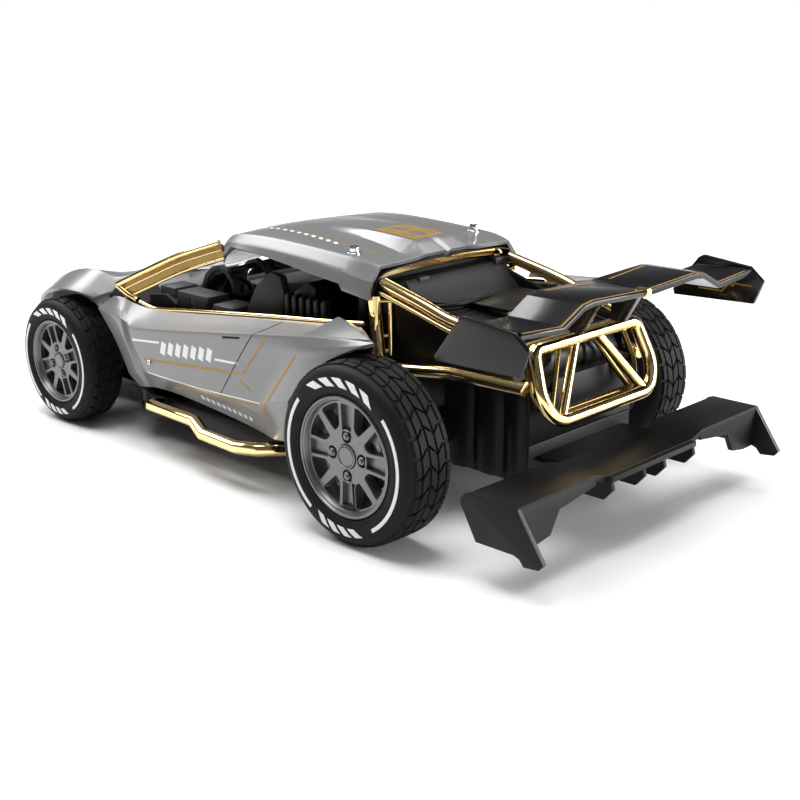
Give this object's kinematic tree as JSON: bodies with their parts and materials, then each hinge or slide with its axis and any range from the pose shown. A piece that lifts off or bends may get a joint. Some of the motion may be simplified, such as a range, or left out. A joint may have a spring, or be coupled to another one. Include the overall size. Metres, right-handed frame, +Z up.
{
  "type": "remote control car",
  "caption": "Battery remote control racing car: silver body panels over a gold roll cage, open cockpit, rear wing and diffuser, steered front wheels and a geared rear axle.",
  "frame": {"origin": "on the ground under the middle of the car's length and width", "axes": "+X to the car's left, +Y to its rear, +Z up; it drives towards -Y"},
  "size_m": [0.1866, 0.366, 0.1061],
  "materials": {
    "silver_paint": "satin silver-grey paint over moulded plastic",
    "gold_chrome": "polished gold plating",
    "black_plastic": "semi-matte moulded black",
    "black_gloss": "gloss black",
    "tyre_rubber": "matte moulded rubber",
    "gunmetal": "satin gunmetal",
    "steel": "bright steel",
    "brass": "machined brass",
    "white_nylon": "natural nylon",
    "battery_wrap": "shrink film",
    "board_green": "solder mask"
  },
  "bodies": {
    "chassis": {"battery_door": "black_plastic", "battery_pack": "battery_wrap", "chassis_tray": "black_plastic", "circuit_board": "board_green", "cockpit_wheel": "black_plastic", "dashboard": "black_plastic", "diffuser": "black_plastic", "drive_motor": "steel", "engine_cover": "black_plastic", "front_bumper": "black_plastic", "front_shell": "silver_paint", "gear_shaft": "steel", "gearbox_case": "black_plastic", "gearbox_cover": "black_plastic", "interior_tub": "black_plastic", "left_a_pillar": "gold_chrome", "left_axle_bearing": "steel", "left_fork": "black_plastic", "left_kingpin": "steel", "left_lower_rail": "gold_chrome", "left_seat": "black_plastic", "left_side_panel": "silver_paint", "left_side_step": "gold_chrome", "left_sill_rail": "gold_chrome", "left_upper_rail": "gold_chrome", "left_wing": "black_gloss", "rear_cage_frame": "gold_chrome", "rear_window_bar": "gold_chrome", "right_a_pillar": "gold_chrome", "right_axle_bearing": "steel", "right_fork": "black_plastic", "right_kingpin": "steel", "right_lower_rail": "gold_chrome", "right_seat": "black_plastic", "right_side_panel": "silver_paint", "right_side_step": "gold_chrome", "right_sill_rail": "gold_chrome", "right_upper_rail": "gold_chrome", "right_wing": "black_gloss", "roof_panel": "silver_paint", "steering_servo": "black_plastic"},
    "rear_wheels": {"rear_axle": "steel", "axle_gear": "white_nylon", "rear_left_tyre": "tyre_rubber", "rear_left_rim": "gunmetal", "rear_right_tyre": "tyre_rubber", "rear_right_rim": "gunmetal"},
    "reduction": {"reduction_gear": "white_nylon"},
    "pinion": {"motor_pinion": "brass"},
    "left_knuckle": {"left_knuckle": "black_plastic"},
    "right_knuckle": {"right_knuckle": "black_plastic"},
    "front_left_wheel": {"front_left_tyre": "tyre_rubber", "front_left_rim": "gunmetal"},
    "front_right_wheel": {"front_right_tyre": "tyre_rubber", "front_right_rim": "gunmetal"},
    "tie_rod": {"tie_rod": "black_plastic"},
    "servo_arm": {"servo_arm": "white_nylon"},
    "switch": {"power_switch": "black_plastic"}
  },
  "joints": [
    {"name": "rear_axle_spin", "type": "hinge", "parent": "chassis", "child": "rear_wheels", "pos_m": [0, 0.0945, 0.0364], "axis": [1, 0, 0], "continuous": true},
    {"name": "reduction_spin", "type": "hinge", "parent": "chassis", "child": "reduction", "pos_m": [0.02, 0.08234, 0.04552], "axis": [1, 0, 0], "continuous": true},
    {"name": "pinion_spin", "type": "hinge", "parent": "chassis", "child": "pinion", "pos_m": [0.017, 0.06927, 0.04368], "axis": [1, 0, 0], "continuous": true},
    {"name": "left_steer", "type": "hinge", "parent": "chassis", "child": "left_knuckle", "pos_m": [0.054, -0.1249, 0.0313], "axis": [0, 0, 1], "range_deg": [-24, 24]},
    {"name": "right_steer", "type": "hinge", "parent": "chassis", "child": "right_knuckle", "pos_m": [-0.054, -0.1249, 0.0313], "axis": [0, 0, 1], "range_deg": [-24, 24]},
    {"name": "tie_rod_slide", "type": "slide", "parent": "chassis", "child": "tie_rod", "axis": [1, 0, 0], "range_m": [-0.00503, 0.00503]},
    {"name": "servo_turn", "type": "hinge", "parent": "chassis", "child": "servo_arm", "pos_m": [0, -0.1009, 0.028], "axis": [0, 0, 1], "range_deg": [-24, 24]},
    {"name": "front_left_spin", "type": "hinge", "parent": "left_knuckle", "child": "front_left_wheel", "pos_m": [0.071, -0.1249, 0.0313], "axis": [1, 0, 0], "continuous": true},
    {"name": "front_right_spin", "type": "hinge", "parent": "right_knuckle", "child": "front_right_wheel", "pos_m": [-0.071, -0.1249, 0.0313], "axis": [1, 0, 0], "continuous": true},
    {"name": "switch_slide", "type": "slide", "parent": "chassis", "child": "switch", "axis": [0, 1, 0], "range_m": [0, 0.005]}
  ],
  "couplings": [
    {"joint": "reduction_spin", "follows": "rear_axle_spin", "ratio": -2.4545},
    {"joint": "pinion_spin", "follows": "rear_axle_spin", "ratio": 6.5455},
    {"joint": "right_steer", "follows": "left_steer", "ratio": 1},
    {"joint": "tie_rod_slide", "follows": "left_steer", "m_per_rad": -0.012},
    {"joint": "servo_turn", "follows": "left_steer", "ratio": -1}
  ]
}
